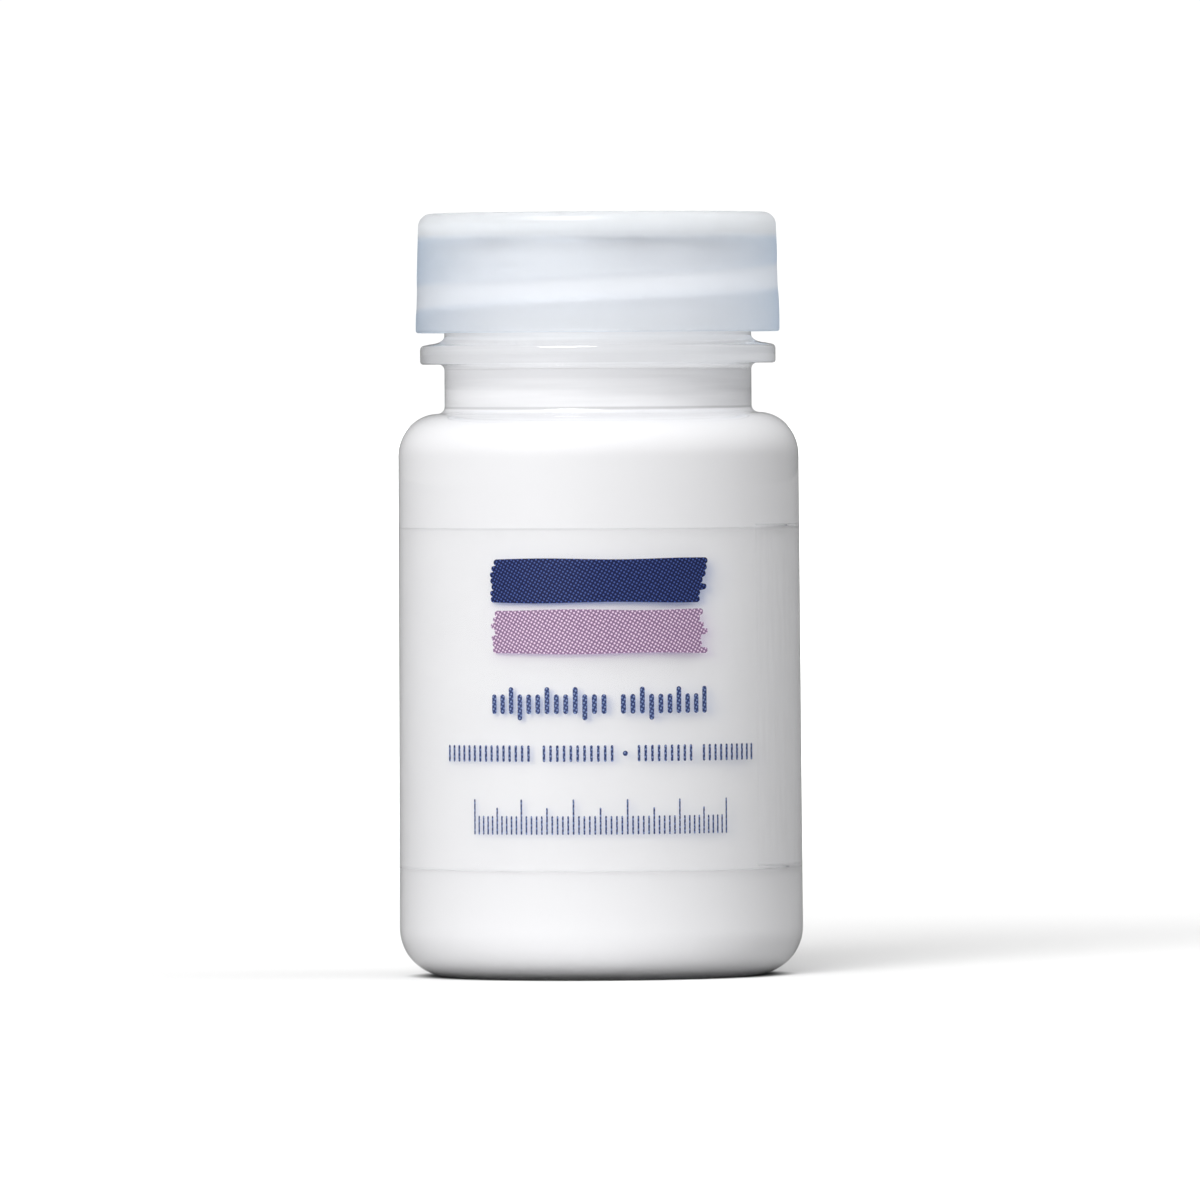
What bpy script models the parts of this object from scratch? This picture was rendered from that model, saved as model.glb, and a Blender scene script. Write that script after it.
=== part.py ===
"""A two-ounce paint jar: a clear plastic jar full of paint, its wrap-round film label, and a screw cap with a liner.

Metres, +Z up. The origin is on the jar's axis, in the plane that it stands on. The front is towards -Y.
"""

import math

import bmesh
import bpy
from mathutils import Matrix, Vector

MM = 0.001
SIDES = 64  # facets round each turned piece, the same for all, so that nested walls stay parallel
STEP_ANGLE = 2 * math.pi / SIDES
MERGE = 0.01 * MM

# Jar: a stretch-blown body under a moulded neck, with a 33 mm one-turn screw finish
BODY_RADIUS = 19.5 * MM
BODY_TAPER = 0.07 * MM  # the body is this much narrower at the shoulder, and wider at the foot
BODY_WALL = 0.85 * MM
FOOT_ROUND = 4.65 * MM
FOOT_FLAT = 1.5 * MM  # width of the flat ring that the jar stands on
FLOOR_THICKNESS = 1.0 * MM
PUSH_UP = 1.5 * MM  # height of the dome under the floor
SHOULDER_Z = 50.4 * MM  # where the straight wall ends
SHOULDER_RISE = 4.17 * MM
SHOULDER_RUN = 3.9 * MM
NECK_RADIUS = 14.9 * MM
BORE_RADIUS = 13.4 * MM
NECK_FOOT_ROUND = 0.7 * MM
THROAT_ROUND = 2.15 * MM
BEAD_RADIUS = 17.25 * MM
BEAD_BOTTOM_Z = 59.35 * MM
BEAD_EDGE_Z = 61.2 * MM
BEAD_SLOPE = 0.12 * MM  # the bead's top face falls this much from its cove to its edge
BEAD_COVE_RUN = 1.5 * MM  # the hollow where the bead's top meets the neck
BEAD_COVE_RISE = 0.75 * MM
BEAD_TOP_ROUND = 0.45 * MM
BEAD_ROUND = 0.3 * MM
BEAD_FILLET = 0.55 * MM
LAND_Z = 72.1 * MM  # the flat lip that the liner seals on
LAND_ROUND = 0.4 * MM

# Thread: one turn at six to the inch
PITCH = 25.4 / 6 * MM
THREAD_DEPTH = 1.1 * MM
NECK_THREAD_ROOT = 2.3 * MM
CAP_THREAD_ROOT = 2.5 * MM
THREAD_CREST = 1.1 * MM
THREAD_TURN_STEPS = SIDES
THREAD_FADE_STEPS = 7  # steps over which each end of a thread sinks into its wall
THREAD_ROOT_SINK = 0.35 * MM  # how far a thread's root is buried in its wall
FLANK_NESTING = 0.79 * MM  # how much closer than root to root the two sloping flanks can lie
FLANK_GAP = 0.2 * MM  # play between them
FRONT_ANGLE = -math.pi / 2
CAP_THREAD_FRONT_Z = 66.75 * MM  # middle of the cap's thread at the front
CAP_THREAD_START = math.radians(-281.25)
NECK_THREAD_START = math.radians(-303.75)

# Cap
CAP_BOTTOM_Z = 62.4 * MM
CAP_TOP_Z = 74.0 * MM
CAP_RADIUS = 17.66 * MM
CAP_DRAFT = 0.28 * MM
CAP_DRAFT_Z = 64.0 * MM  # the skirt is straight below here and drawn in above
CAP_EDGE_ROUND = 1.3 * MM
CAP_RIM_ROUND = 0.2 * MM
CAP_BORE = 16.3 * MM
CAP_CEILING_Z = 72.95 * MM
CAP_LEAD_IN = 0.3 * MM
LINER_BEAD_Z = 71.35 * MM
LINER_BEAD_DEPTH = 0.45 * MM
GATE_RADIUS = 1.5 * MM
GATE_DEPTH = 0.25 * MM

# Liner, label and paint
CLEARANCE = 0.05 * MM  # between pieces that touch
LINER_RADIUS = 16.1 * MM
LABEL_BOTTOM_Z = 10.8 * MM
LABEL_TOP_Z = 43.8 * MM
LABEL_FILM = 0.06 * MM
LABEL_LAP_GAP = 0.03 * MM  # between the two layers where the label laps over itself
LABEL_START = math.radians(-39.375)  # the inner end, front right
LABEL_LAP_STEPS = 6
LABEL_RAMP_STEPS = 2  # facets over which the film climbs onto its own inner end
FILL_Z = 58.4 * MM  # level of two fluid ounces of paint
MENISCUS = 0.6 * MM


def clear_scene():
    for old in list(bpy.data.objects):
        bpy.data.objects.remove(old, do_unlink=True)


def new_collection(name):
    collection = bpy.data.collections.new(name)
    bpy.context.scene.collection.children.link(collection)
    return collection


def make_material(name, colour, roughness, transmission=0.0, alpha=1.0):
    material = bpy.data.materials.new(name)
    material.use_nodes = True
    shader = material.node_tree.nodes["Principled BSDF"]
    shader.inputs["Base Color"].default_value = (*colour, 1.0)
    shader.inputs["Roughness"].default_value = roughness
    shader.inputs["Metallic"].default_value = 0.0
    shader.inputs["Transmission Weight"].default_value = transmission
    shader.inputs["Alpha"].default_value = alpha
    return material


def arc(centre_r, centre_z, run, rise, start_deg, end_deg, steps):
    """Points on an ellipse in the (radius, height) plane, both ends included."""
    points = []
    for i in range(steps + 1):
        angle = math.radians(start_deg + (end_deg - start_deg) * i / steps)
        points.append((centre_r + run * math.cos(angle), centre_z + rise * math.sin(angle)))
    return points


def body_radius(z):
    """Outer radius of the jar's straight wall, which is slightly wider at the foot."""
    share = (z - FOOT_ROUND) / (SHOULDER_Z - FOOT_ROUND)
    return BODY_RADIUS + BODY_TAPER * (1 - 2 * share)


def dome(base_z, radius, steps):
    """The pushed-up floor, from the axis out to where it lies flat, as one smooth wave."""
    points = []
    for i in range(steps + 1):
        r = radius * i / steps
        points.append((r, base_z + PUSH_UP * (0.5 + 0.5 * math.cos(math.pi * i / steps))))
    return points


def cavity_outline(inset):
    """The inside of the jar, from the middle of its floor up to the bore, drawn in by inset."""
    foot_centre = body_radius(FOOT_ROUND) - FOOT_ROUND
    foot_run = FOOT_ROUND - BODY_WALL - inset
    foot_rise = FOOT_ROUND - FLOOR_THICKNESS - inset
    shoulder_centre = body_radius(SHOULDER_Z) - SHOULDER_RUN
    shoulder_run = SHOULDER_RUN - BODY_WALL - inset
    shoulder_rise = SHOULDER_RISE - BODY_WALL - inset
    bore = BORE_RADIUS - inset
    throat = shoulder_centre - bore
    throat_z = SHOULDER_Z + shoulder_rise
    points = dome(FLOOR_THICKNESS + inset, foot_centre - FOOT_FLAT, 5)
    points += arc(foot_centre, FOOT_ROUND, foot_run, foot_rise, -90, 0, 5)
    points += arc(shoulder_centre, SHOULDER_Z, shoulder_run, shoulder_rise, 0, 90, 5)
    points += arc(shoulder_centre, throat_z + THROAT_ROUND, throat, THROAT_ROUND, -90, -180, 4)[1:]
    return points


def jar_outline():
    """The jar's section: up the inside from the floor, over the land and down the outside to under the floor."""
    foot_centre = body_radius(FOOT_ROUND) - FOOT_ROUND
    shoulder_centre = body_radius(SHOULDER_Z) - SHOULDER_RUN
    neck_foot_r = NECK_RADIUS + NECK_FOOT_ROUND
    lean = (neck_foot_r - shoulder_centre) / SHOULDER_RUN
    shoulder_start = 90 - math.degrees(math.asin(lean))
    neck_foot_z = SHOULDER_Z + SHOULDER_RISE * math.cos(math.asin(lean)) + NECK_FOOT_ROUND
    inside = cavity_outline(0.0)
    inside += arc(BORE_RADIUS + LAND_ROUND / 2, LAND_Z - LAND_ROUND / 2, LAND_ROUND / 2, LAND_ROUND / 2, 180, 90, 1)
    lip = arc(NECK_RADIUS - LAND_ROUND, LAND_Z - LAND_ROUND, LAND_ROUND, LAND_ROUND, 90, 0, 3)
    cove_z = BEAD_EDGE_Z + BEAD_SLOPE + BEAD_COVE_RISE
    bead = arc(NECK_RADIUS + BEAD_COVE_RUN, cove_z, BEAD_COVE_RUN, BEAD_COVE_RISE, 180, 262, 4)
    top_round_r = BEAD_RADIUS - BEAD_TOP_ROUND
    bead += arc(top_round_r, BEAD_EDGE_Z - BEAD_TOP_ROUND, BEAD_TOP_ROUND, BEAD_TOP_ROUND, 80, 0, 3)
    bead += arc(BEAD_RADIUS - BEAD_ROUND, BEAD_BOTTOM_Z + BEAD_ROUND, BEAD_ROUND, BEAD_ROUND, 0, -90, 2)
    bead += arc(NECK_RADIUS + BEAD_FILLET, BEAD_BOTTOM_Z - BEAD_FILLET, BEAD_FILLET, BEAD_FILLET, 90, 180, 3)
    shoulder = arc(neck_foot_r, neck_foot_z, NECK_FOOT_ROUND, NECK_FOOT_ROUND, 180, 270, 4)
    shoulder += arc(shoulder_centre, SHOULDER_Z, SHOULDER_RUN, SHOULDER_RISE, shoulder_start, 0, 7)[1:]
    foot = arc(foot_centre, FOOT_ROUND, FOOT_ROUND, FOOT_ROUND, 0, -90, 7)
    under = dome(0.0, foot_centre - FOOT_FLAT, 5)
    under.reverse()
    return inside + lip + bead + shoulder + foot + under


def cap_outline():
    """The cap's section: out over the top, down the skirt, and up the inside to the ceiling."""
    top_radius = CAP_RADIUS - CAP_DRAFT
    points = [(0.0, CAP_TOP_Z - GATE_DEPTH)]
    points += [(GATE_RADIUS, CAP_TOP_Z - GATE_DEPTH), (GATE_RADIUS + GATE_DEPTH, CAP_TOP_Z)]
    points += arc(top_radius - CAP_EDGE_ROUND, CAP_TOP_Z - CAP_EDGE_ROUND, CAP_EDGE_ROUND, CAP_EDGE_ROUND, 90, 0, 5)
    points += [(CAP_RADIUS, CAP_DRAFT_Z)]
    points += arc(CAP_RADIUS - CAP_RIM_ROUND, CAP_BOTTOM_Z + CAP_RIM_ROUND, CAP_RIM_ROUND, CAP_RIM_ROUND, 0, -90, 2)
    points += [(CAP_BORE + CAP_LEAD_IN, CAP_BOTTOM_Z), (CAP_BORE, CAP_BOTTOM_Z + CAP_LEAD_IN)]
    points += [
        (CAP_BORE, LINER_BEAD_Z - LINER_BEAD_DEPTH),
        (CAP_BORE - LINER_BEAD_DEPTH, LINER_BEAD_Z),
        (CAP_BORE, LINER_BEAD_Z + LINER_BEAD_DEPTH),
        (CAP_BORE, CAP_CEILING_Z),
        (0.0, CAP_CEILING_Z),
    ]
    return points


def liner_outline():
    top = CAP_CEILING_Z - CLEARANCE
    bottom = LAND_Z + CLEARANCE
    return [(0.0, top), (LINER_RADIUS, top), (LINER_RADIUS, bottom), (0.0, bottom)]


def paint_outline():
    """The paint's section: its level surface, which climbs a little at the bore, then down the wall to the floor."""
    bore = BORE_RADIUS - CLEARANCE
    surface = [(0.0, FILL_Z)]
    surface += arc(bore - MENISCUS, FILL_Z + MENISCUS, MENISCUS, MENISCUS, -90, 0, 3)
    wall = cavity_outline(CLEARANCE)
    wall.reverse()
    return surface + wall


def turned(name, outline, material, collection):
    """An object that a Screw modifier turns from its outline, given as (radius, height) points at +X."""
    mesh = bpy.data.meshes.new(name)
    edges = [(i, i + 1) for i in range(len(outline) - 1)]
    mesh.from_pydata([(r, 0.0, z) for r, z in outline], edges, [])
    mesh.materials.append(material)
    obj = bpy.data.objects.new(name, mesh)
    collection.objects.link(obj)
    screw = obj.modifiers.new("turn", "SCREW")
    screw.axis = "Z"
    screw.angle = 2 * math.pi
    screw.steps = SIDES
    screw.render_steps = SIDES
    screw.use_merge_vertices = True
    screw.merge_threshold = MERGE
    screw.use_smooth_shade = True
    return obj


def thread_z(angle, front_z):
    """Height of the middle of a right-hand thread at an angle round the axis."""
    return front_z + PITCH * (angle - FRONT_ANGLE) / (2 * math.pi)


def thread_ridge(name, wall_radius, depth, root, front_z, start, collection):
    """A one-turn helical ridge with tapered ends, for a union. It stands out of its wall by depth, inwards if negative."""
    side = math.copysign(1.0, depth)
    buried = wall_radius - side * THREAD_ROOT_SINK
    flank = (root - THREAD_CREST) / 2
    spread = root / 2 + flank * THREAD_ROOT_SINK / abs(depth)
    corners = [
        (buried, -spread),
        (wall_radius + depth, -THREAD_CREST / 2),
        (wall_radius + depth, THREAD_CREST / 2),
        (buried, spread),
    ]
    turn_to_start = Matrix.Rotation(start, 4, "Z")
    start_z = thread_z(start, front_z)
    bm = bmesh.new()
    section = bm.faces.new([bm.verts.new(turn_to_start @ Vector((r, 0.0, start_z + z))) for r, z in corners])
    bmesh.ops.spin(
        bm,
        geom=[section, *section.edges, *section.verts],
        cent=(0.0, 0.0, 0.0),
        axis=(0.0, 0.0, 1.0),
        dvec=(0.0, 0.0, PITCH / THREAD_TURN_STEPS),
        angle=STEP_ANGLE * THREAD_TURN_STEPS,
        steps=THREAD_TURN_STEPS,
        use_duplicate=False,
    )
    fade_thread_ends(bm, buried, side, start, start_z, spread)
    bmesh.ops.recalc_face_normals(bm, faces=bm.faces)
    mesh = bpy.data.meshes.new(name)
    bm.to_mesh(mesh)
    bm.free()
    ridge = bpy.data.objects.new(name, mesh)
    ridge.hide_render = True
    ridge.display_type = "WIRE"
    collection.objects.link(ridge)
    return ridge


def fade_thread_ends(bm, buried, side, start, start_z, spread):
    """Draws the crest back into the wall over the first and last steps of the ridge."""
    for vert in bm.verts:
        radius = math.hypot(vert.co.x, vert.co.y)
        if side * (radius - buried) < THREAD_ROOT_SINK / 2:
            continue
        turn = (math.atan2(vert.co.y, vert.co.x) - start) % (2 * math.pi)
        step = round(turn / STEP_ANGLE) % THREAD_TURN_STEPS
        if step == 0 and vert.co.z - start_z > spread:
            step = THREAD_TURN_STEPS
        from_end = min(step, THREAD_TURN_STEPS - step) / THREAD_FADE_STEPS
        height = math.sin(math.pi / 2 * min(1.0, from_end))
        least = THREAD_ROOT_SINK / 2
        faded = buried + side * (least + (side * (radius - buried) - least) * height)
        vert.co.x *= faded / radius
        vert.co.y *= faded / radius


def join_ridge(obj, ridge):
    union = obj.modifiers.new("thread", "BOOLEAN")
    union.operation = "UNION"
    union.solver = "EXACT"
    union.object = ridge


def make_label(material, collection):
    """The film, spun from its section once round the body and on over its own inner end."""
    bm = bmesh.new()
    turn_to_start = Matrix.Rotation(LABEL_START, 4, "Z")
    corners = []
    for z, outwards in ((LABEL_BOTTOM_Z, 0), (LABEL_BOTTOM_Z, 1), (LABEL_TOP_Z, 1), (LABEL_TOP_Z, 0)):
        radius = body_radius(z) + CLEARANCE + LABEL_FILM * outwards
        corners.append(bm.verts.new(turn_to_start @ Vector((radius, 0.0, z))))
    section = bm.faces.new(corners)
    steps = SIDES + LABEL_LAP_STEPS
    bmesh.ops.spin(
        bm,
        geom=[section, *section.edges, *section.verts],
        cent=(0.0, 0.0, 0.0),
        axis=(0.0, 0.0, 1.0),
        dvec=(0.0, 0.0, 0.0),
        angle=STEP_ANGLE * steps,
        steps=steps,
        use_duplicate=False,
    )
    lift_label_lap(bm, len(corners))
    bmesh.ops.recalc_face_normals(bm, faces=bm.faces)
    mesh = bpy.data.meshes.new("label")
    bm.to_mesh(mesh)
    bm.free()
    mesh.materials.append(material)
    mesh.shade_smooth()
    mesh.set_sharp_from_angle(angle=math.radians(30))
    label = bpy.data.objects.new("label", mesh)
    collection.objects.link(label)
    return label


def lift_label_lap(bm, corners):
    """Moves the film's last stretch out by one layer, so that it lies over the first. Spin leaves vertices in order."""
    bm.verts.index_update()
    for vert in bm.verts:
        climbed = vert.index // corners - (SIDES - LABEL_RAMP_STEPS)
        share = min(1.0, max(0.0, climbed / LABEL_RAMP_STEPS))
        radius = math.hypot(vert.co.x, vert.co.y)
        lifted = radius + (LABEL_FILM + LABEL_LAP_GAP) * share
        vert.co.x *= lifted / radius
        vert.co.y *= lifted / radius


def main():
    clear_scene()
    parts = new_collection("paint_jar")
    cutters = new_collection("thread_ridges")
    cutters.hide_render = True

    clear_plastic = make_material("clear_pet", (0.93, 0.93, 0.94), 0.05, transmission=1.0)
    milky_plastic = make_material("natural_polypropylene", (0.82, 0.86, 0.90), 0.25, transmission=0.6)
    foam = make_material("white_liner_foam", (0.9, 0.9, 0.9), 0.6)
    film = make_material("clear_label_film", (0.95, 0.95, 0.96), 0.15, alpha=0.3)
    paint = make_material("white_acrylic_paint", (0.9, 0.9, 0.91), 0.3)

    jar = turned("jar", jar_outline(), clear_plastic, parts)
    cap = turned("cap", cap_outline(), milky_plastic, parts)
    turned("cap_liner", liner_outline(), foam, parts)
    turned("paint", paint_outline(), paint, parts)
    make_label(film, parts)

    thread_spacing = (NECK_THREAD_ROOT + CAP_THREAD_ROOT) / 2 - FLANK_NESTING + FLANK_GAP
    neck_ridge = thread_ridge(
        "neck_thread",
        NECK_RADIUS,
        THREAD_DEPTH,
        NECK_THREAD_ROOT,
        CAP_THREAD_FRONT_Z + thread_spacing,
        NECK_THREAD_START,
        cutters,
    )
    cap_ridge = thread_ridge(
        "cap_thread",
        CAP_BORE,
        -THREAD_DEPTH,
        CAP_THREAD_ROOT,
        CAP_THREAD_FRONT_Z,
        CAP_THREAD_START,
        cutters,
    )
    join_ridge(jar, neck_ridge)
    join_ridge(cap, cap_ridge)


main()
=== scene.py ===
"""The looks of a two-ounce paint jar: a clear jar, its white paint, a printed film label, a foam liner and a
milky screw cap.

Metres, +Z up, with the printed front towards -Y.
"""

import math
import random

import bmesh
import bpy
from mathutils import Matrix, Vector


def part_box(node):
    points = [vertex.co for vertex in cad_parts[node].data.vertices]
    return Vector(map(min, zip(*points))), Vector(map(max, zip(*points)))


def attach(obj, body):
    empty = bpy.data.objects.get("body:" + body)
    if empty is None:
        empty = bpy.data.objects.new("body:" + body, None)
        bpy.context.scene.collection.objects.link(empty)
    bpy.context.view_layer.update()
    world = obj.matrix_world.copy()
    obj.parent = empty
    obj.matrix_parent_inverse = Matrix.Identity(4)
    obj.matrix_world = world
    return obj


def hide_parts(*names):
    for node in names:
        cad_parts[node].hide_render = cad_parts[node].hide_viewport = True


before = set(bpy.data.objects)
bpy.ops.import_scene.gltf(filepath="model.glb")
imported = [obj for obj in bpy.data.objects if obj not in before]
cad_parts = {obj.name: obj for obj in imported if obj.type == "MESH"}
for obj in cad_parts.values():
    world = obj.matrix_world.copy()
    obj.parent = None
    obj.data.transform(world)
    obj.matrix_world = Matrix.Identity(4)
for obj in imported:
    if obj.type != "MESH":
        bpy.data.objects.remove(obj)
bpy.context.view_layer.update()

MM = 0.001
TURN = 2 * math.pi
FRONT = -math.pi / 2
SIDES = 160

# Jar, from its box and the mould's own radii
jar_low, jar_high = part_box("jar")
BODY_TAPER = 0.07 * MM
BODY_RADIUS = jar_high.x - BODY_TAPER
LAND_Z = jar_high.z
BODY_WALL = 0.85 * MM
FOOT_ROUND = 4.65 * MM
FOOT_FLAT = 1.5 * MM
FLOOR_THICKNESS = 1.0 * MM
PUSH_UP = 1.5 * MM
SHOULDER_Z = 50.4 * MM
SHOULDER_RISE = 4.17 * MM
SHOULDER_RUN = 3.9 * MM
NECK_RADIUS = 14.9 * MM
BORE_RADIUS = 13.4 * MM
NECK_FOOT_ROUND = 0.7 * MM
THROAT_ROUND = 1.2 * MM
BEAD_RADIUS = 17.25 * MM
BEAD_BOTTOM_Z = 59.35 * MM
BEAD_EDGE_Z = 61.2 * MM
BEAD_SLOPE = 0.12 * MM
BEAD_COVE_RUN = 1.5 * MM
BEAD_COVE_RISE = 0.75 * MM
BEAD_TOP_ROUND = 0.45 * MM
BEAD_ROUND = 0.3 * MM
BEAD_FILLET = 0.55 * MM
LAND_ROUND = 0.4 * MM
GATE_NUB = 0.35 * MM

# Thread, six to the inch and one turn long
PITCH = 25.4 / 6 * MM
THREAD_DEPTH = 1.1 * MM
NECK_THREAD_ROOT = 2.3 * MM
CAP_THREAD_ROOT = 2.5 * MM
THREAD_CREST = 1.1 * MM
THREAD_FADE = math.radians(38)
CAP_THREAD_FRONT_Z = 66.75 * MM
CAP_THREAD_START = math.radians(-281.25)
NECK_THREAD_FRONT_Z = 68.56 * MM
NECK_THREAD_START = math.radians(-303.75)
THREAD_ROW = 0.16 * MM

# Cap and liner
cap_low, cap_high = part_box("cap")
liner_low, liner_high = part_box("cap_liner")
CAP_RADIUS = cap_high.x
CAP_DRAFT = 0.28 * MM
CAP_DRAFT_Z = 64.0 * MM
CAP_EDGE_ROUND = 1.3 * MM
CAP_RIM_ROUND = 0.25 * MM
CAP_BORE = 16.3 * MM
CAP_CEILING_Z = 72.95 * MM
LINER_BEAD_Z = 71.35 * MM
LINER_BEAD_DEPTH = 0.25 * MM
GATE_RADIUS = 1.5 * MM
GATE_DEPTH = 0.25 * MM
SINK_DEPTH = 0.06 * MM  # the skirt sinks this much outside its thread, where the plastic is thick

# Paint
paint_low, paint_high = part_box("paint")
MENISCUS = 0.6 * MM
FILL_Z = paint_high.z - MENISCUS
WETTING = 0.03 * MM  # the paint reaches this far into the wall, so that no air lies between them
COAT = 0.18 * MM
NECK_RING_Z = 54.85 * MM  # a grey line of shade where the neck meets the shoulder
NECK_RING = 0.4 * MM
NECK_RING_SHADE = 2.4  # in steps of a streak's shade
# painted shade and painted reflections: above this height the paint turns streaky and darker
NECK_SHADE_Z = SHOULDER_Z + 4.0 * MM

# Label
label_low, label_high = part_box("label")
FILM = 0.04 * MM
FILM_GAP = 0.01 * MM
LABEL_START = math.radians(-39.375)
LABEL_LAP = math.radians(33.75)
LABEL_RAMP = math.radians(8)
LABEL_SKEW = 0.35 * MM  # the film comes round this much lower than it began
INK = 0.01 * MM
SCREEN_ANGLE = math.radians(30)

# Shares from 0 to 1: how much film and cap hide of what is behind them, and how thick the cap is at its thread
# beside its top plate
FILM_HAZE = 0.012
# painted shade: how much the grey hairline along the film's cut edges hides
FILM_EDGE_SHADE = 0.055
THIN_MILK = 0.1
SLANT_MILK = 0.55
THICK_MILK = 0.75
THREAD_THICKNESS = 0.75

PARTING_LINE = 0.16 * MM
PLAIN_WHITE = 1.05


def linear(hex_code):
    """An sRGB hex colour as linear RGBA."""
    channels = [int(hex_code[i : i + 2], 16) / 255 for i in (1, 3, 5)]
    return (*[c / 12.92 if c <= 0.04045 else ((c + 0.055) / 1.055) ** 2.4 for c in channels], 1.0)


def add(tree, kind, sockets=(), **settings):
    """A node with its settings. Each of its sockets takes a value, or a link from another node's socket."""
    node = tree.nodes.new(kind)
    for name, value in settings.items():
        setattr(node, name, value)
    for name, value in dict(sockets).items():
        if isinstance(value, bpy.types.NodeSocket):
            tree.links.new(value, node.inputs[name])
        else:
            node.inputs[name].default_value = value
    return node


def new_material(name):
    material = bpy.data.materials.new(name)
    material.use_nodes = True
    material.node_tree.nodes.clear()
    return material, material.node_tree


# ---- Materials ----


def pet_material():
    """Clear PET, stretch blown: a polished glassy skin with a faint ripple, and two parting lines from the
    mould. Lamps and the paint's own glow pass through it unbent."""
    material, tree = new_material("clear_pet_blow_moulded")
    place = add(tree, "ShaderNodeTexCoord")
    ripple = add(
        tree,
        "ShaderNodeTexNoise",
        {"Vector": place.outputs["Object"], "Scale": 1 / (9 * MM), "Detail": 1.0},
    )
    parts = add(tree, "ShaderNodeSeparateXYZ", {"Vector": place.outputs["Object"]})
    off_plane = add(tree, "ShaderNodeMath", {0: parts.outputs["Y"]}, operation="ABSOLUTE")
    parting = add(
        tree,
        "ShaderNodeMapRange",
        {
            "Value": off_plane.outputs[0],
            "From Min": PARTING_LINE / 4,
            "From Max": PARTING_LINE,
            "To Min": 1.0,
            "To Max": 0.0,
        },
        interpolation_type="SMOOTHSTEP",
    )
    soft = add(
        tree,
        "ShaderNodeBump",
        {"Height": ripple.outputs["Fac"], "Distance": 0.05 * MM, "Strength": 0.25},
    )
    relief = add(
        tree,
        "ShaderNodeBump",
        {
            "Height": parting.outputs["Result"],
            "Distance": 0.03 * MM,
            "Strength": 0.6,
            "Normal": soft.outputs[0],
        },
    )
    shader = add(
        tree,
        "ShaderNodeBsdfPrincipled",
        {
            "Base Color": linear("#FDFDFD"),
            "Roughness": 0.03,
            "IOR": 1.575,
            "Transmission Weight": 1.0,
            "Normal": relief.outputs[0],
        },
    )
    clear = add(tree, "ShaderNodeBsdfTransparent", {"Color": linear("#F5F5F6")})
    path = add(tree, "ShaderNodeLightPath")
    passes = add(
        tree,
        "ShaderNodeMath",
        {0: path.outputs["Is Shadow Ray"], 1: path.outputs["Is Diffuse Ray"]},
        operation="MAXIMUM",
    )
    both = add(
        tree,
        "ShaderNodeMixShader",
        {0: passes.outputs[0], 1: shader.outputs[0], 2: clear.outputs[0]},
    )
    add(tree, "ShaderNodeOutputMaterial", {"Surface": both.outputs[0]})
    return material


def paint_material():
    """White acrylic paint, wet against the wall: a soft bright white. In the neck it has streaks of painted
    shade and painted reflection, and a painted line of shade at the neck's foot."""
    material, tree = new_material("white_acrylic_paint_wet")
    place = add(tree, "ShaderNodeTexCoord")
    stretch = add(
        tree,
        "ShaderNodeMapping",
        {"Vector": place.outputs["Object"], "Scale": (1 / (30 * MM), 1 / (30 * MM), 1 / (1.5 * MM))},
    )
    # painted shade and painted reflections: darker streaks in the paint of the neck
    streaks = add(tree, "ShaderNodeTexNoise", {"Vector": stretch.outputs[0], "Scale": 1.0, "Detail": 4.0})
    contrast = add(
        tree,
        "ShaderNodeMapRange",
        {"Value": streaks.outputs["Fac"], "From Min": 0.38, "From Max": 0.62},
    )
    parts = add(tree, "ShaderNodeSeparateXYZ", {"Vector": place.outputs["Object"]})
    in_neck = add(
        tree,
        "ShaderNodeMapRange",
        {
            "Value": parts.outputs["Z"],
            "From Min": NECK_SHADE_Z,
            "From Max": NECK_SHADE_Z + 0.6 * MM,
        },
    )
    from_ring = add(tree, "ShaderNodeMath", {0: parts.outputs["Z"], 1: NECK_RING_Z}, operation="SUBTRACT")
    ring_distance = add(tree, "ShaderNodeMath", {0: from_ring.outputs[0]}, operation="ABSOLUTE")
    ring = add(
        tree,
        "ShaderNodeMapRange",
        {
            "Value": ring_distance.outputs[0],
            "From Min": NECK_RING / 4,
            "From Max": NECK_RING,
            "To Min": NECK_RING_SHADE,
            "To Max": 0.0,
        },
    )
    neck_shade = add(
        tree,
        "ShaderNodeMath",
        {0: contrast.outputs["Result"], 1: in_neck.outputs["Result"], 2: ring.outputs["Result"]},
        operation="MULTIPLY_ADD",
    )
    colour = add(
        tree,
        "ShaderNodeMix",
        {"Factor": neck_shade.outputs[0], 6: linear("#F1F1F2"), 7: linear("#E5E5E6")},
        data_type="RGBA",
        clamp_factor=False,
    )
    shader = add(
        tree,
        "ShaderNodeBsdfPrincipled",
        {"Base Color": colour.outputs[2], "Roughness": 0.35, "Specular IOR Level": 0.3},
    )
    add(tree, "ShaderNodeOutputMaterial", {"Surface": shader.outputs[0]})
    return material


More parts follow.
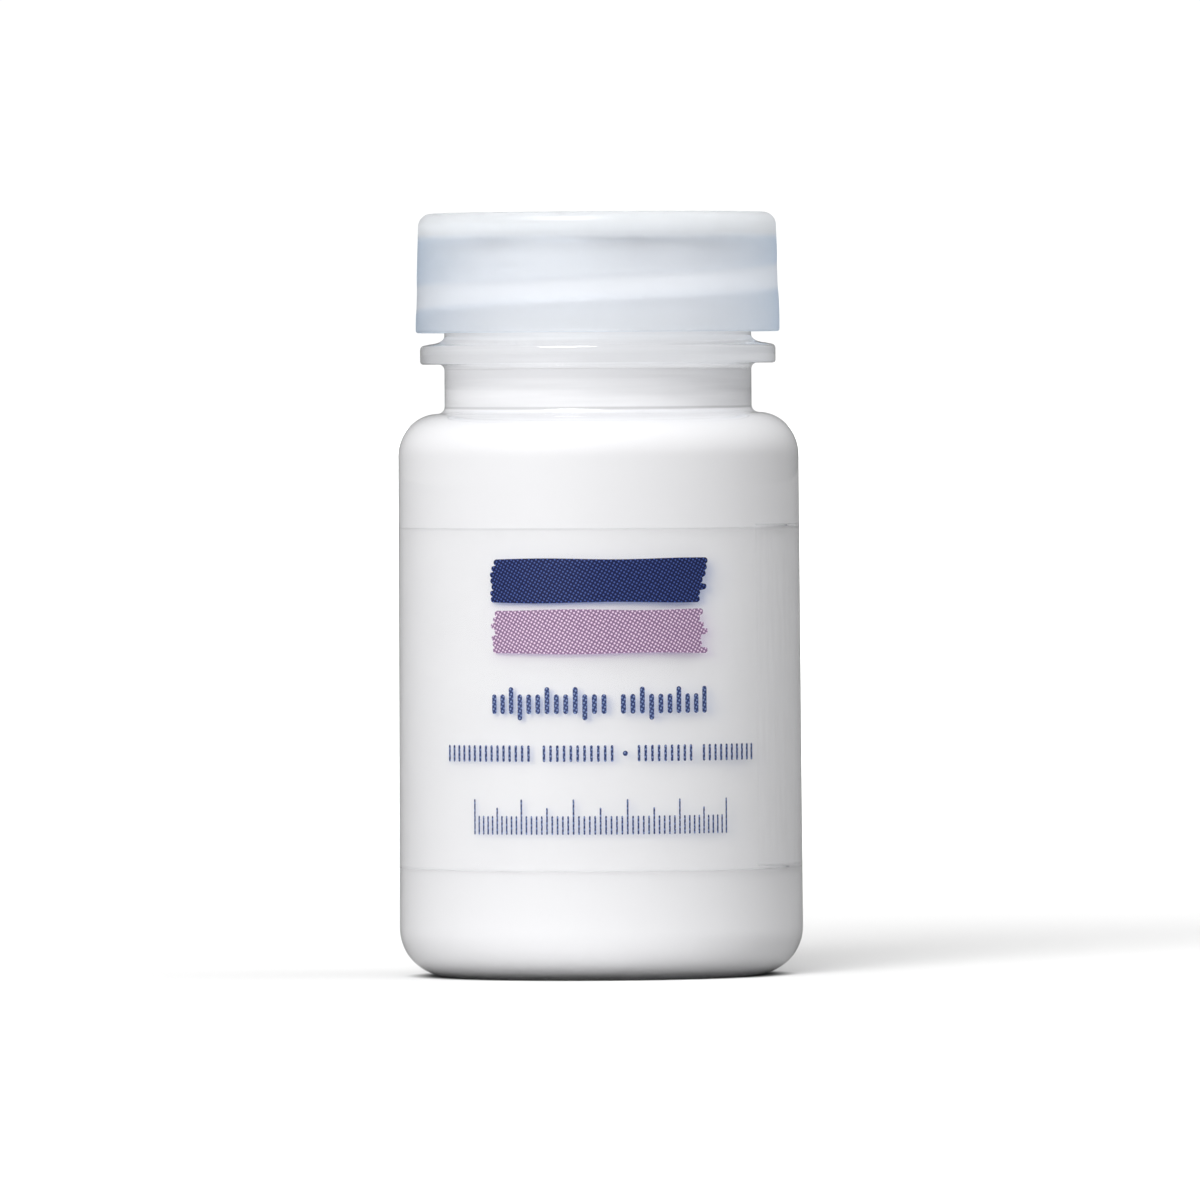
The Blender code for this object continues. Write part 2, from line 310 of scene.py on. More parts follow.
def film_material():
    """Clear polypropylene label film, cast: all but invisible, with a grey hairline of painted shade at its
    cut edges. The piece's UV map holds millimetres along the film and up it."""
    material, tree = new_material("clear_polypropylene_label_film")
    place = add(tree, "ShaderNodeUVMap", uv_map="film")
    parts = add(tree, "ShaderNodeSeparateXYZ", {"Vector": place.outputs["UV"]})
    height = (label_high.z - label_low.z) / MM
    from_middle = add(
        tree,
        "ShaderNodeMath",
        {0: parts.outputs["Y"], 1: height / 2},
        operation="SUBTRACT",
    )
    distance = add(tree, "ShaderNodeMath", {0: from_middle.outputs[0]}, operation="ABSOLUTE")
    # painted shade: the film turns to a grey hairline near its cut edges
    edge = add(
        tree,
        "ShaderNodeMapRange",
        {"Value": distance.outputs[0], "From Min": height / 2 - 0.28, "From Max": height / 2 - 0.06},
    )
    haze = add(tree, "ShaderNodeTexNoise", {"Vector": place.outputs["UV"], "Scale": 0.12, "Detail": 2.0})
    patchy = add(
        tree,
        "ShaderNodeMapRange",
        {"Value": haze.outputs["Fac"], "From Min": 0.35, "From Max": 0.65, "To Max": FILM_HAZE},
    )
    cover = add(
        tree,
        "ShaderNodeMath",
        {0: edge.outputs["Result"], 1: FILM_EDGE_SHADE, 2: patchy.outputs["Result"]},
        operation="MULTIPLY_ADD",
    )
    colour = add(
        tree,
        "ShaderNodeMix",
        {"Factor": edge.outputs["Result"], 6: linear("#F4F4F6"), 7: linear("#9C9EA4")},
        data_type="RGBA",
    )
    shader = add(
        tree,
        "ShaderNodeBsdfPrincipled",
        {"Base Color": colour.outputs[2], "Roughness": 0.12, "Alpha": cover.outputs[0]},
    )
    add(tree, "ShaderNodeOutputMaterial", {"Surface": shader.outputs[0]})
    return material


def ink_material(name, ink, gap, shade, pitch_mm, gap_share):
    """Flexo ink on film, laid as a halftone: rows of fine gaps let a paler tint through. It is so thin that
    its shadow on the paint takes its colour. The piece's UV map holds millimetres along the film and up
    it."""
    material, tree = new_material(name)
    place = add(tree, "ShaderNodeUVMap", uv_map="film")
    turned = add(
        tree,
        "ShaderNodeMapping",
        {
            "Vector": place.outputs["UV"],
            "Rotation": (0.0, 0.0, SCREEN_ANGLE),
            "Scale": (1 / pitch_mm,) * 3,
        },
    )
    dots = add(
        tree,
        "ShaderNodeTexVoronoi",
        {"Vector": turned.outputs[0], "Scale": 1.0, "Randomness": 0.12},
        voronoi_dimensions="2D",
    )
    gaps = add(
        tree,
        "ShaderNodeMapRange",
        {"Value": dots.outputs["Distance"], "From Min": gap_share + 0.1, "From Max": gap_share - 0.1},
    )
    colour = add(
        tree,
        "ShaderNodeMix",
        {"Factor": gaps.outputs["Result"], 6: linear(ink), 7: linear(gap)},
        data_type="RGBA",
    )
    shader = add(
        tree,
        "ShaderNodeBsdfPrincipled",
        {"Base Color": colour.outputs[2], "Roughness": 0.3, "Specular IOR Level": 0.4},
    )
    tint = add(tree, "ShaderNodeBsdfTransparent", {"Color": linear(shade)})
    path = add(tree, "ShaderNodeLightPath")
    both = add(
        tree,
        "ShaderNodeMixShader",
        {0: path.outputs["Is Shadow Ray"], 1: shader.outputs[0], 2: tint.outputs[0]},
    )
    add(tree, "ShaderNodeOutputMaterial", {"Surface": both.outputs[0]})
    return material


def polypropylene_material():
    """Natural polypropylene, injection moulded and left uncoloured: a milky, bluish, satin skin that blurs
    what is behind it. It is whiter where it is thick, along its thread and in its top plate, and milkier seen
    on a slant."""
    material, tree = new_material("natural_polypropylene_moulded")
    place = add(tree, "ShaderNodeTexCoord")
    parts = add(tree, "ShaderNodeSeparateXYZ", {"Vector": place.outputs["Object"]})
    angle = add(
        tree,
        "ShaderNodeMath",
        {0: parts.outputs["Y"], 1: parts.outputs["X"]},
        operation="ARCTAN2",
    )
    past_end = add(
        tree,
        "ShaderNodeMath",
        {0: angle.outputs[0], 1: CAP_THREAD_START + TURN},
        operation="GREATER_THAN",
    )
    along = add(
        tree,
        "ShaderNodeMath",
        {0: past_end.outputs[0], 1: -TURN, 2: angle.outputs[0]},
        operation="MULTIPLY_ADD",
    )
    rise = add(
        tree,
        "ShaderNodeMath",
        {0: along.outputs[0], 1: PITCH / TURN, 2: CAP_THREAD_FRONT_Z - PITCH * FRONT / TURN},
        operation="MULTIPLY_ADD",
    )
    above = add(tree, "ShaderNodeMath", {0: parts.outputs["Z"], 1: rise.outputs[0]}, operation="SUBTRACT")
    distance = add(tree, "ShaderNodeMath", {0: above.outputs[0]}, operation="ABSOLUTE")
    on_thread = add(
        tree,
        "ShaderNodeMapRange",
        {
            "Value": distance.outputs[0],
            "From Min": 0.8 * MM,
            "From Max": 1.7 * MM,
            "To Min": THREAD_THICKNESS,
            "To Max": 0.0,
        },
        interpolation_type="SMOOTHSTEP",
    )
    flow = add(
        tree,
        "ShaderNodeMapping",
        {"Vector": place.outputs["Object"], "Scale": (1 / (6 * MM), 1 / (6 * MM), 1 / (1.2 * MM))},
    )
    streaks = add(tree, "ShaderNodeTexNoise", {"Vector": flow.outputs[0], "Scale": 1.0, "Detail": 3.0})
    wandering = add(
        tree,
        "ShaderNodeMath",
        {0: streaks.outputs["Fac"], 1: 0.4 * MM, 2: parts.outputs["Z"]},
        operation="MULTIPLY_ADD",
    )
    in_top = add(
        tree,
        "ShaderNodeMapRange",
        {"Value": wandering.outputs[0], "From Min": 71.3 * MM, "From Max": 72.3 * MM},
        interpolation_type="SMOOTHSTEP",
    )
    thick = add(
        tree,
        "ShaderNodeMath",
        {0: on_thread.outputs["Result"], 1: in_top.outputs["Result"]},
        operation="MAXIMUM",
    )
    thin_milk = add(
        tree,
        "ShaderNodeMapRange",
        {
            "Value": streaks.outputs["Fac"],
            "From Min": 0.3,
            "From Max": 0.7,
            "To Min": THIN_MILK / 2,
            "To Max": THIN_MILK,
        },
    )
    slant = add(tree, "ShaderNodeLayerWeight", {"Blend": 0.5})
    slanted_milk = add(
        tree,
        "ShaderNodeMath",
        {0: slant.outputs["Facing"], 1: SLANT_MILK, 2: thin_milk.outputs["Result"]},
        operation="MULTIPLY_ADD",
    )
    milkiness = add(
        tree,
        "ShaderNodeMix",
        {"Factor": thick.outputs[0], 2: slanted_milk.outputs[0], 3: THICK_MILK},
    )
    thin_colour = add(
        tree,
        "ShaderNodeMix",
        {"Factor": slant.outputs["Facing"], 6: linear("#F2F3F6"), 7: linear("#BFD6EE")},
        data_type="RGBA",
    )
    thick_colour = add(
        tree,
        "ShaderNodeMix",
        {"Factor": in_top.outputs["Result"], 6: linear("#F2F3F5"), 7: linear("#E0E2E4")},
        data_type="RGBA",
    )
    colour = add(
        tree,
        "ShaderNodeMix",
        {"Factor": thick.outputs[0], 6: thin_colour.outputs[2], 7: thick_colour.outputs[2]},
        data_type="RGBA",
    )
    grain = add(
        tree,
        "ShaderNodeTexNoise",
        {"Vector": place.outputs["Object"], "Scale": 1 / (0.4 * MM), "Detail": 2.0},
    )
    relief = add(
        tree,
        "ShaderNodeBump",
        {"Height": grain.outputs["Fac"], "Distance": 0.01 * MM, "Strength": 0.25},
    )
    see_through = add(
        tree,
        "ShaderNodeBsdfPrincipled",
        {
            "Base Color": linear("#FBFCFD"),
            "Roughness": 0.4,
            "IOR": 1.49,
            "Transmission Weight": 1.0,
            "Normal": relief.outputs[0],
        },
    )
    milk_front = add(
        tree,
        "ShaderNodeBsdfPrincipled",
        {
            "Base Color": colour.outputs[2],
            "Roughness": 0.3,
            "IOR": 1.49,
            "Subsurface Weight": in_top.outputs["Result"],
            "Subsurface Radius": (1.0, 1.0, 1.0),
            "Subsurface Scale": 3.5 * MM,
            "Normal": relief.outputs[0],
        },
    )
    milk_back = add(tree, "ShaderNodeBsdfTranslucent", {"Color": colour.outputs[2]})
    milk = add(tree, "ShaderNodeMixShader", {0: 0.3, 1: milk_front.outputs[0], 2: milk_back.outputs[0]})
    path = add(tree, "ShaderNodeLightPath")
    clear = add(tree, "ShaderNodeBsdfTransparent", {"Color": linear("#F8FAFC")})
    skin = add(
        tree,
        "ShaderNodeMixShader",
        {0: path.outputs["Is Diffuse Ray"], 1: see_through.outputs[0], 2: clear.outputs[0]},
    )
    plastic = add(
        tree,
        "ShaderNodeMixShader",
        {0: milkiness.outputs[0], 1: skin.outputs[0], 2: milk.outputs[0]},
    )
    passed = add(
        tree,
        "ShaderNodeMix",
        {"Factor": milkiness.outputs[0], 6: linear("#FDFEFE"), 7: linear("#F2F4F6")},
        data_type="RGBA",
    )
    shade = add(tree, "ShaderNodeBsdfTransparent", {"Color": passed.outputs[2]})
    both = add(
        tree,
        "ShaderNodeMixShader",
        {0: path.outputs["Is Shadow Ray"], 1: plastic.outputs[0], 2: shade.outputs[0]},
    )
    add(tree, "ShaderNodeOutputMaterial", {"Surface": both.outputs[0]})
    return material


def foam_material():
    """Foamed polyethylene liner, white, with a smooth skin over fine cells, and thin enough to let light
    through."""
    material, tree = new_material("white_polyethylene_foam")
    place = add(tree, "ShaderNodeTexCoord")
    cells = add(
        tree,
        "ShaderNodeTexVoronoi",
        {"Vector": place.outputs["Object"], "Scale": 1 / (0.25 * MM)},
    )
    colour = add(
        tree,
        "ShaderNodeMix",
        {"Factor": cells.outputs["Distance"], 6: linear("#F7F7F8"), 7: linear("#E6E7E9")},
        data_type="RGBA",
    )
    relief = add(
        tree,
        "ShaderNodeBump",
        {"Height": cells.outputs["Distance"], "Distance": 0.04 * MM, "Strength": 0.4},
    )
    shader = add(
        tree,
        "ShaderNodeBsdfPrincipled",
        {"Base Color": colour.outputs[2], "Roughness": 0.6, "Normal": relief.outputs[0]},
    )
    shade = add(tree, "ShaderNodeBsdfTransparent", {"Color": linear("#F0F0F0")})
    path = add(tree, "ShaderNodeLightPath")
    both = add(
        tree,
        "ShaderNodeMixShader",
        {0: path.outputs["Is Shadow Ray"], 1: shader.outputs[0], 2: shade.outputs[0]},
    )
    add(tree, "ShaderNodeOutputMaterial", {"Surface": both.outputs[0]})
    return material


# ---- Outlines of the turned pieces, as (radius, height) ----


def arc(centre_r, centre_z, run, rise, start_deg, end_deg, steps):
    points = []
    for i in range(steps + 1):
        angle = math.radians(start_deg + (end_deg - start_deg) * i / steps)
        points.append((centre_r + run * math.cos(angle), centre_z + rise * math.sin(angle)))
    return points


def line(start, end, step):
    """Points between two others, step apart or less, ends left out."""
    count = math.ceil(math.dist(start, end) / step)
    return [
        (start[0] + (end[0] - start[0]) * i / count, start[1] + (end[1] - start[1]) * i / count)
        for i in range(1, count)
    ]


def body_radius(z):
    share = (z - FOOT_ROUND) / (SHOULDER_Z - FOOT_ROUND)
    return BODY_RADIUS + BODY_TAPER * (1 - 2 * share)


def dome(base_z, radius, steps):
    points = []
    for i in range(steps + 1):
        points.append((radius * i / steps, base_z + PUSH_UP * (0.5 + 0.5 * math.cos(math.pi * i / steps))))
    return points


def cavity_outline(inset):
    """The inside of the jar, from the middle of its floor up to the foot of the bore, drawn in by inset."""
    foot_centre = body_radius(FOOT_ROUND) - FOOT_ROUND
    shoulder_centre = body_radius(SHOULDER_Z) - SHOULDER_RUN
    shoulder_rise = SHOULDER_RISE - BODY_WALL - inset
    throat = shoulder_centre - (BORE_RADIUS - inset)
    points = dome(FLOOR_THICKNESS + inset, foot_centre - FOOT_FLAT, 16)
    points += arc(
        foot_centre,
        FOOT_ROUND,
        FOOT_ROUND - BODY_WALL - inset,
        FOOT_ROUND - FLOOR_THICKNESS - inset,
        -90,
        0,
        14,
    )
    points += arc(shoulder_centre, SHOULDER_Z, SHOULDER_RUN - BODY_WALL - inset, shoulder_rise, 0, 90, 14)
    points += arc(
        shoulder_centre,
        SHOULDER_Z + shoulder_rise + THROAT_ROUND,
        throat,
        THROAT_ROUND,
        -90,
        -180,
        10,
    )[1:]
    return points


def jar_outline():
    foot_centre = body_radius(FOOT_ROUND) - FOOT_ROUND
    shoulder_centre = body_radius(SHOULDER_Z) - SHOULDER_RUN
    neck_foot_r = NECK_RADIUS + NECK_FOOT_ROUND
    lean = math.asin((neck_foot_r - shoulder_centre) / SHOULDER_RUN)
    neck_foot_z = SHOULDER_Z + SHOULDER_RISE * math.cos(lean) + NECK_FOOT_ROUND
    points = cavity_outline(0.0)
    inner_round = LAND_ROUND / 2
    points += line(points[-1], (BORE_RADIUS, LAND_Z - inner_round), 2 * MM)
    points += arc(BORE_RADIUS + inner_round, LAND_Z - inner_round, inner_round, inner_round, 180, 90, 3)
    points += arc(NECK_RADIUS - LAND_ROUND, LAND_Z - LAND_ROUND, LAND_ROUND, LAND_ROUND, 90, 0, 5)
    cove_z = BEAD_EDGE_Z + BEAD_SLOPE + BEAD_COVE_RISE
    points += line(points[-1], (NECK_RADIUS, cove_z), THREAD_ROW)
    points += arc(NECK_RADIUS + BEAD_COVE_RUN, cove_z, BEAD_COVE_RUN, BEAD_COVE_RISE, 180, 262, 9)
    points += arc(
        BEAD_RADIUS - BEAD_TOP_ROUND, BEAD_EDGE_Z - BEAD_TOP_ROUND, BEAD_TOP_ROUND, BEAD_TOP_ROUND, 80, 0, 7
    )
    points += arc(BEAD_RADIUS - BEAD_ROUND, BEAD_BOTTOM_Z + BEAD_ROUND, BEAD_ROUND, BEAD_ROUND, 0, -90, 5)
    points += arc(
        NECK_RADIUS + BEAD_FILLET, BEAD_BOTTOM_Z - BEAD_FILLET, BEAD_FILLET, BEAD_FILLET, 90, 180, 6
    )
    points += arc(neck_foot_r, neck_foot_z, NECK_FOOT_ROUND, NECK_FOOT_ROUND, 180, 270, 8)
    points += arc(
        shoulder_centre, SHOULDER_Z, SHOULDER_RUN, SHOULDER_RISE, 90 - math.degrees(lean), 0, 18
    )[1:]
    points += line(points[-1], (body_radius(FOOT_ROUND), FOOT_ROUND), 3 * MM)
    points += arc(foot_centre, FOOT_ROUND, FOOT_ROUND, FOOT_ROUND, 0, -90, 16)
    under = dome(0.0, foot_centre - FOOT_FLAT, 16)
    under.reverse()
    points += under[:-2]
    top = under[-1][1]
    points += [(GATE_RADIUS, top), (GATE_RADIUS * 0.8, top - GATE_NUB), (0.0, top - GATE_NUB)]
    return points


def cap_outline():
    top_r = CAP_RADIUS - CAP_DRAFT
    points = [(0.0, cap_high.z - GATE_DEPTH * 0.6), (GATE_RADIUS * 0.35, cap_high.z - GATE_DEPTH)]
    points += [(GATE_RADIUS, cap_high.z - GATE_DEPTH), (GATE_RADIUS + GATE_DEPTH, cap_high.z)]
    points += arc(
        top_r - CAP_EDGE_ROUND, cap_high.z - CAP_EDGE_ROUND, CAP_EDGE_ROUND, CAP_EDGE_ROUND, 90, 0, 10
    )
    points += line(points[-1], (CAP_RADIUS, CAP_DRAFT_Z), 0.3 * MM) + [(CAP_RADIUS, CAP_DRAFT_Z)]
    points += line(points[-1], (CAP_RADIUS, cap_low.z + CAP_RIM_ROUND), 0.3 * MM)
    points += arc(
        CAP_RADIUS - CAP_RIM_ROUND, cap_low.z + CAP_RIM_ROUND, CAP_RIM_ROUND, CAP_RIM_ROUND, 0, -90, 5
    )
    points += arc(CAP_BORE + 0.3 * MM, cap_low.z + 0.3 * MM, 0.3 * MM, 0.3 * MM, -90, -180, 4)
    below_bead = (CAP_BORE, LINER_BEAD_Z - LINER_BEAD_DEPTH)
    points += line(points[-1], below_bead, THREAD_ROW)
    points += arc(CAP_BORE, LINER_BEAD_Z, LINER_BEAD_DEPTH, LINER_BEAD_DEPTH, -90, -270, 6)
    points += [(CAP_BORE, CAP_CEILING_Z), (0.0, CAP_CEILING_Z)]
    return points


# ---- Making meshes ----


def finish_mesh(bm, name, material, sharp_deg=35):
    """The bmesh as an object in the scene, with smooth faces and sharp corners."""
    bmesh.ops.remove_doubles(bm, verts=bm.verts, dist=0.0005 * MM)
    bmesh.ops.recalc_face_normals(bm, faces=bm.faces)
    mesh = bpy.data.meshes.new(name)
    bm.to_mesh(mesh)
    bm.free()
    mesh.materials.append(material)
    mesh.shade_smooth()
    mesh.set_sharp_from_angle(angle=math.radians(sharp_deg))
    piece = bpy.data.objects.new(name, mesh)
    bpy.context.scene.collection.objects.link(piece)
    return piece


def spun(outline, closed=False, sides=SIDES):
    """The outline turned once round the axis."""
    bm = bmesh.new()
    verts = [bm.verts.new((r, 0.0, z)) for r, z in outline]
    edges = [bm.edges.new(pair) for pair in zip(verts, verts[1:])]
    if closed:
        edges.append(bm.edges.new((verts[-1], verts[0])))
    bmesh.ops.spin(
        bm,
        geom=verts + edges,
        cent=(0.0, 0.0, 0.0),
        axis=(0.0, 0.0, 1.0),
        dvec=(0.0, 0.0, 0.0),
        angle=TURN,
        steps=sides,
        use_merge=True,
        use_duplicate=False,
    )
    return bm


def smoothstep(x):
    x = min(1.0, max(0.0, x))
    return x * x * (3 - 2 * x)


def thread_height(angle, z, front_z, start, root):
    """How far a one-turn thread stands up at a place on its wall, from 0 to 1."""
    along = (angle - start) % TURN
    offset = abs(z - (front_z + PITCH * (start + along - FRONT) / TURN))
    flank = (root - THREAD_CREST) / 2
    profile = smoothstep((root / 2 - offset) / flank)
    return profile * smoothstep(along / THREAD_FADE) * smoothstep((TURN - along) / THREAD_FADE)


def raise_thread(bm, wall_radius, low, high, depth, thread):
    """Moves a wall's vertices out by the thread's height times depth."""
    for vert in bm.verts:
        radius = math.hypot(vert.co.x, vert.co.y)
        if abs(radius - wall_radius(vert.co.z)) > 0.02 * MM or not low < vert.co.z < high:
            continue
        height = thread_height(math.atan2(vert.co.y, vert.co.x), vert.co.z, *thread)
        vert.co.x *= 1 + depth * height / radius
        vert.co.y *= 1 + depth * height / radius


def make_jar():
    bm = spun(jar_outline())
    raise_thread(
        bm,
        lambda z: NECK_RADIUS,
        BEAD_EDGE_Z + BEAD_SLOPE + BEAD_COVE_RISE,
        LAND_Z - LAND_ROUND,
        THREAD_DEPTH,
        (NECK_THREAD_FRONT_Z, NECK_THREAD_START, NECK_THREAD_ROOT),
    )
    jar = finish_mesh(bm, "jar_shell", pet_material())
    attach(jar, "bottle")
    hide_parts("jar")


def make_paint():
    material = paint_material()
    bore = BORE_RADIUS + WETTING
    surface = [(0.0, FILL_Z), (bore - 3 * MM, FILL_Z)]
    surface += arc(bore - MENISCUS, FILL_Z + MENISCUS, MENISCUS, MENISCUS, -90, -3, 6)
    wall = cavity_outline(-WETTING)
    wall.reverse()
    fill = finish_mesh(spun(surface + wall), "paint_fill", material)
    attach(fill, "bottle")
    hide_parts("paint")

    coat_low = FILL_Z + MENISCUS
    coat_high = LAND_Z - 1.0 * MM
    inner = bore - COAT
    section = [(bore, coat_low), (inner, coat_low)]
    section += line((inner, coat_low), (inner, coat_high), 1 * MM)
    section += [(inner, coat_high), (bore - COAT / 2, coat_high + COAT / 2), (bore, coat_high)]
    section += line((bore, coat_high), (bore, coat_low), 1 * MM)
    bm = spun(section, closed=True)
    for vert in bm.verts:
        angle = math.atan2(vert.co.y, vert.co.x)
        reach = (vert.co.z - coat_low) / (coat_high - coat_low)
        wave = math.sin(3 * angle + 0.7) + 0.6 * math.sin(7 * angle + 2.1) + 0.3 * math.sin(17 * angle)
        vert.co.z += 0.35 * MM * wave * smoothstep(reach)
    coat = finish_mesh(bm, "paint_coat_in_neck", material)
    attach(coat, "bottle")
    return coat


def make_cap():
    bm = spun(cap_outline())
    thread = (CAP_THREAD_FRONT_Z, CAP_THREAD_START, CAP_THREAD_ROOT)
    low = cap_low.z + 0.3 * MM
    high = LINER_BEAD_Z - LINER_BEAD_DEPTH
    raise_thread(bm, lambda z: CAP_BORE, low, high, -THREAD_DEPTH, thread)
    raise_thread(
        bm,
        skirt_radius,
        cap_low.z + CAP_RIM_ROUND,
        cap_high.z - CAP_EDGE_ROUND,
        -SINK_DEPTH,
        (CAP_THREAD_FRONT_Z, CAP_THREAD_START, 2 * CAP_THREAD_ROOT),
    )
    cap = finish_mesh(bm, "screw_cap", polypropylene_material())
    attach(cap, "cap_body")
    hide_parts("cap")
    return cap


def skirt_radius(z):
    """Outer radius of the cap's skirt."""
    share = max(0.0, (z - CAP_DRAFT_Z) / (cap_high.z - CAP_EDGE_ROUND - CAP_DRAFT_Z))
    return CAP_RADIUS - CAP_DRAFT * share


def make_liner():
    radius = liner_high.x
    low, high = liner_low.z, liner_high.z
    edge = 0.15 * MM
    dent = 0.08 * MM
    outline = [(0.0, high)]
    outline += arc(radius - edge, high - edge, edge, edge, 90, 0, 4)
    outline += arc(radius - edge, low + edge, edge, edge, 0, -90, 4)
    outline += [(NECK_RADIUS + 0.3 * MM, low), (NECK_RADIUS, low + dent), (BORE_RADIUS, low + dent)]
    outline += [(BORE_RADIUS - 0.3 * MM, low), (0.0, low)]
    liner = finish_mesh(spun(outline), "foam_liner", foam_material())
    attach(liner, "liner_body")
    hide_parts("cap_liner")


def film_radius(z, turned, layer):
    """Radius of the film's face, layer 0 inside and 1 outside, this far round from its inner end."""
    climbed = smoothstep((turned - (TURN - LABEL_RAMP)) / LABEL_RAMP)
    return body_radius(z) + FILM_GAP + FILM * layer + (FILM + FILM_GAP) * climbed


def make_label():
    rows, columns = 12, 200
    height = label_high.z - label_low.z
    whole = TURN + LABEL_LAP
    bm = bmesh.new()
    uv = bm.loops.layers.uv.new("film")
    bmesh.ops.create_grid(bm, x_segments=columns, y_segments=rows, size=0.5)
    places = {}
    for vert in bm.verts:
        places[vert] = ((vert.co.x + 0.5) * whole, (vert.co.y + 0.5) * height)
    for face in bm.faces:
        for loop in face.loops:
            turned, up = places[loop.vert]
            loop[uv].uv = (turned * BODY_RADIUS / MM, up / MM)
    sheet = list(bm.faces)
    outer = bmesh.ops.duplicate(bm, geom=sheet + list(bm.edges) + list(bm.verts))
    copied = outer["vert_map"]
    for vert in list(places):
        places[copied[vert]] = places[vert]
    inner_verts = set(v for f in sheet for v in f.verts)
    for vert, (turned, up) in places.items():
        z = label_low.z + up - LABEL_SKEW * (turned / whole)
        radius = film_radius(z, turned, 0 if vert in inner_verts else 1)
        angle = LABEL_START + turned
        vert.co = (radius * math.cos(angle), radius * math.sin(angle), z)
    rims = [e for e in bm.edges if e.is_boundary]
    bmesh.ops.bridge_loops(bm, edges=rims)
    film = finish_mesh(bm, "label_film", film_material())
    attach(film, "bottle")
    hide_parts("label")


# ---- Print ----


def bar(bm, centre, size, corner):
    """A flat bar with round corners, in the plane of (arc length, height), cut up so that it can be
    wrapped."""
    before = set(bm.verts)
    pieces = max(1, math.ceil(size[0] / (0.8 * MM)))
    bmesh.ops.create_grid(bm, x_segments=pieces, y_segments=1, size=0.5)
    verts = [v for v in bm.verts if v not in before]
    bmesh.ops.scale(bm, vec=(size[0], size[1], 1.0), verts=verts)
    if corner > 0:
        corners = [v for v in verts if len(v.link_edges) == 2]
        bmesh.ops.bevel(
            bm,
            geom=corners,
            offset=min(corner, size[0] / 2 * 0.99, size[1] / 2 * 0.99),
            offset_type="OFFSET",
            affect="VERTICES",
            segments=4,
            profile=0.5,
            material=-1,
        )
        verts = [v for v in bm.verts if v not in before]
    bmesh.ops.translate(bm, vec=(centre[0], centre[1], 0.0), verts=verts)


def printed(name, bm, material):
    """Wraps flat shapes round the film and gives them the ink's thickness."""
    uv = bm.loops.layers.uv.new("film")
    for face in bm.faces:
        for loop in face.loops:
            loop[uv].uv = (loop.vert.co.x / MM, loop.vert.co.y / MM)
    for vert in bm.verts:
        along, z = vert.co.x, vert.co.y
        radius = body_radius(z) + 2 * FILM_GAP + FILM
        angle = FRONT + along / body_radius(z)
        vert.co = (radius * math.cos(angle), radius * math.sin(angle), z)
    faces = list(bm.faces)
    bmesh.ops.recalc_face_normals(bm, faces=faces)
    for face in bm.faces:
        face.normal_update()
    outwards = sum(f.normal.dot(f.calc_center_median()) for f in bm.faces)
    if outwards < 0:
        bmesh.ops.reverse_faces(bm, faces=faces)
    bmesh.ops.solidify(bm, geom=faces, thickness=-INK)
    piece = finish_mesh(bm, name, material)
    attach(piece, "bottle")
    return piece


def brush_stroke(name, z, length, height, bristles, seed, material):
    """A broad stroke of paint with scalloped ends, where the bristles start and lift at different places."""
    rng = random.Random(seed)
    starts = [rng.uniform(0.0, 0.5) * MM for _ in range(bristles)]
    ends = [rng.uniform(0.0, 1.3) * MM for _ in range(bristles)]
    rows_each = 6
    bm = bmesh.new()
    bmesh.ops.create_grid(bm, x_segments=36, y_segments=bristles * rows_each, size=0.5)
    for vert in bm.verts:
        row = (vert.co.y + 0.5) * bristles
        which = min(bristles - 1, int(row + 1e-6))
        off_middle = min(1.0, abs(2 * (row - which) - 1))
        round_end = height / bristles / 2 * (1 - math.sqrt(1 - 0.95 * off_middle**2))
        left = -length / 2 + starts[which] + round_end
        right = length / 2 - ends[which] - round_end
        ripple = 0.06 * MM * math.sin(9 * vert.co.x + seed) * (2 * vert.co.y)
        vert.co = (left + (right - left) * (vert.co.x + 0.5), z + vert.co.y * height + ripple, 0.0)
    printed(name, bm, material)


def bar_row(bm, start, end, low, pitch, width, heights, drops=(0.0,)):
    """Upright bars side by side from start to end, in millimetres. Their heights and drops repeat."""
    count = round((end - start - width) / pitch) + 1
    for i in range(count):
        tall = heights[i % len(heights)]
        drop = drops[i % len(drops)]
        along = start + width / 2 + i * pitch
        middle = low + (tall - drop) / 2
        bar(bm, (along * MM, middle * MM), (width * MM, (tall + drop) * MM), width * MM / 2)


